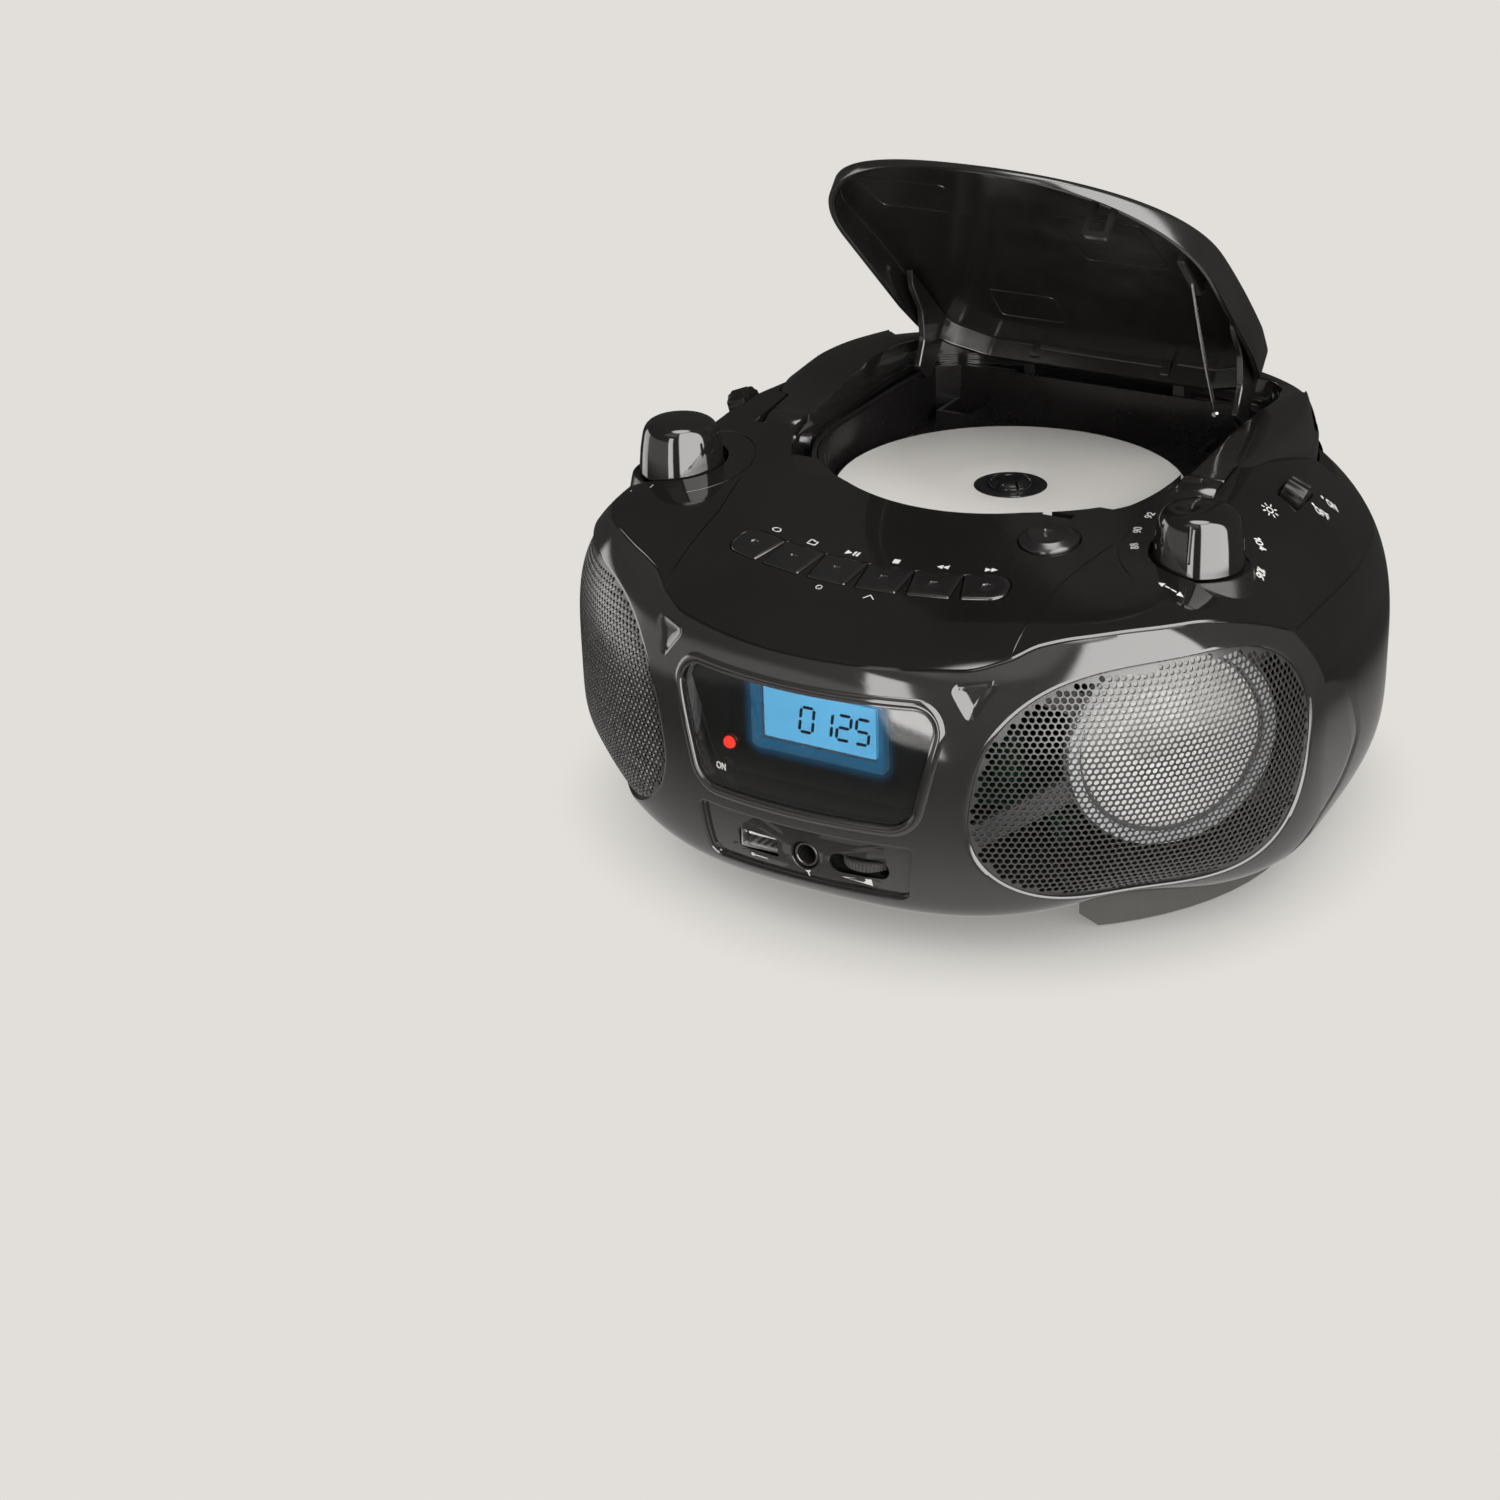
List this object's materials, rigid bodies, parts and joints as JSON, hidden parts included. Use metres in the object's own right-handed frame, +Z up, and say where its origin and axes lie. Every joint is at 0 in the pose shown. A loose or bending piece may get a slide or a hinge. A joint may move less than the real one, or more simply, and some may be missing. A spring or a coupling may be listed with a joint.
{
  "type": "karaoke machine with disc tray",
  "caption": "Egg-shaped portable sound box with an open disc bay and lid, folded carry handle, round speaker grilles, display and a microphone socket.",
  "frame": {"origin": "middle of the footprint at floor level", "axes": "+X to the right seen from the front, -Y out of the front, +Z up"},
  "size_m": [0.2618, 0.247, 0.2208],
  "materials": {
    "gloss_black": "high gloss black moulding",
    "fascia_grey": "glossy dark gunmetal moulding",
    "handle_black": "glossy black moulding",
    "matte_black": "fine matt texture",
    "well_black": "satin black",
    "plate_grey": "matt dark grey",
    "rubber": "matt rubber",
    "steel": "bright plated steel",
    "disc_white": "off-white printed disc",
    "cream": "moulded cream",
    "board_green": "lacquered circuit board",
    "smoked_lens": "smoked clear plastic window",
    "frame_silver": "silver painted frame",
    "screen_blue": "backlit blue display",
    "lamp_red": "red lamp",
    "grille_black": "black perforated sheet",
    "cone_silver": "silver cone",
    "light_clear": "clear lamp ring"
  },
  "bodies": {
    "case": {"top_case": "gloss_black", "front_panel": "fascia_grey", "rear_case": "gloss_black", "base_tray": "matte_black", "foot_arcs": "fascia_grey", "rubber_pads": "rubber", "case_screws": "steel", "disc_well": "well_black", "mechanism_plate": "plate_grey", "plate_dampers": "rubber", "spindle_motor": "steel", "pickup_rails": "steel", "handle_screws": "steel", "volume_control": "steel", "tuning_capacitor": "cream", "function_switch": "steel", "light_switch": "steel", "key_board": "board_green", "display_lens": "smoked_lens", "screen_frame": "frame_silver", "screen_glass": "screen_blue", "indicator_lamp": "lamp_red", "display_board": "matte_black", "usb_socket": "steel", "mic_jack": "matte_black", "socket_board": "board_green", "grille_left": "grille_black", "grille_right": "grille_black", "speaker_cones": "cone_silver", "speaker_frames": "plate_grey", "speaker_magnets": "steel", "light_rings": "light_clear", "main_board": "board_green", "transformer": "steel", "power_inlet": "matte_black", "battery_springs": "steel"},
    "lid": {"disc_lid": "gloss_black", "lid_hinge_rod": "steel", "lid_stay": "steel"},
    "handle": {"carry_handle": "handle_black"},
    "volume": {"volume_knob": "gloss_black"},
    "tuning": {"tuning_knob": "gloss_black"},
    "level_wheel": {"mic_wheel": "matte_black"},
    "release": {"release_button": "gloss_black"},
    "function_select": {"function_slider": "matte_black"},
    "light_select": {"light_slider": "matte_black"},
    "platter": {"turntable": "well_black", "disc": "disc_white"},
    "optics": {"pickup": "matte_black"},
    "battery_hatch": {"battery_door": "matte_black"},
    "button_1": {"key_1": "gloss_black"},
    "button_2": {"key_2": "gloss_black"},
    "button_3": {"key_3": "gloss_black"},
    "button_4": {"key_4": "gloss_black"},
    "button_5": {"key_5": "gloss_black"},
    "button_6": {"key_6": "gloss_black"}
  },
  "joints": [
    {"name": "lid_hinge", "type": "hinge", "parent": "case", "child": "lid", "pos_m": [0, 0.107, 0.1195], "axis": [1, 0, 0], "range_deg": [0, 40.7], "stiffness_Nm_per_rad": 0.02, "springref_deg": -11.46},
    {"name": "handle_hinge", "type": "hinge", "parent": "case", "child": "handle", "pos_m": [0, 0.008, 0.112], "axis": [1, 0, 0], "range_deg": [0, 85]},
    {"name": "volume_turn", "type": "hinge", "parent": "case", "child": "volume", "pos_m": [-0.092, -0.036, 0.12], "axis": [0, 0, -1], "range_deg": [0, 280]},
    {"name": "tuning_turn", "type": "hinge", "parent": "case", "child": "tuning", "pos_m": [0.092, -0.036, 0.12], "axis": [0, 0, -1], "range_deg": [-90, 90]},
    {"name": "level_turn", "type": "hinge", "parent": "case", "child": "level_wheel", "pos_m": [0.0188, -0.1126, 0.032], "axis": [0, 0, 1], "range_deg": [0, 270]},
    {"name": "release_push", "type": "slide", "parent": "case", "child": "release", "axis": [0, 0.138, -0.9904], "range_m": [0, 0.002], "stiffness_N_per_m": 400},
    {"name": "function_slide", "type": "slide", "parent": "case", "child": "function_select", "axis": [0, 1, 0], "range_m": [-0.002, 0.002]},
    {"name": "light_slide", "type": "slide", "parent": "case", "child": "light_select", "axis": [0, 1, 0], "range_m": [-0.002, 0.002]},
    {"name": "platter_spin", "type": "hinge", "parent": "case", "child": "platter", "pos_m": [0, 0.027, 0.102], "axis": [0, 0, 1], "continuous": true},
    {"name": "optics_slide", "type": "slide", "parent": "case", "child": "optics", "axis": [1, 0, 0], "range_m": [0, 0.02]},
    {"name": "hatch_slide", "type": "slide", "parent": "case", "child": "battery_hatch", "axis": [0, 1, 0], "range_m": [0, 0.008]},
    {"name": "button_1_push", "type": "slide", "parent": "case", "child": "button_1", "axis": [0, 0.2014, -0.9795], "range_m": [0, 0.001], "stiffness_N_per_m": 600},
    {"name": "button_2_push", "type": "slide", "parent": "case", "child": "button_2", "axis": [0, 0.2014, -0.9795], "range_m": [0, 0.001], "stiffness_N_per_m": 600},
    {"name": "button_3_push", "type": "slide", "parent": "case", "child": "button_3", "axis": [0, 0.2014, -0.9795], "range_m": [0, 0.001], "stiffness_N_per_m": 600},
    {"name": "button_4_push", "type": "slide", "parent": "case", "child": "button_4", "axis": [0, 0.2014, -0.9795], "range_m": [0, 0.001], "stiffness_N_per_m": 600},
    {"name": "button_5_push", "type": "slide", "parent": "case", "child": "button_5", "axis": [0, 0.2014, -0.9795], "range_m": [0, 0.001], "stiffness_N_per_m": 600},
    {"name": "button_6_push", "type": "slide", "parent": "case", "child": "button_6", "axis": [0, 0.2014, -0.9795], "range_m": [0, 0.001], "stiffness_N_per_m": 600}
  ]
}
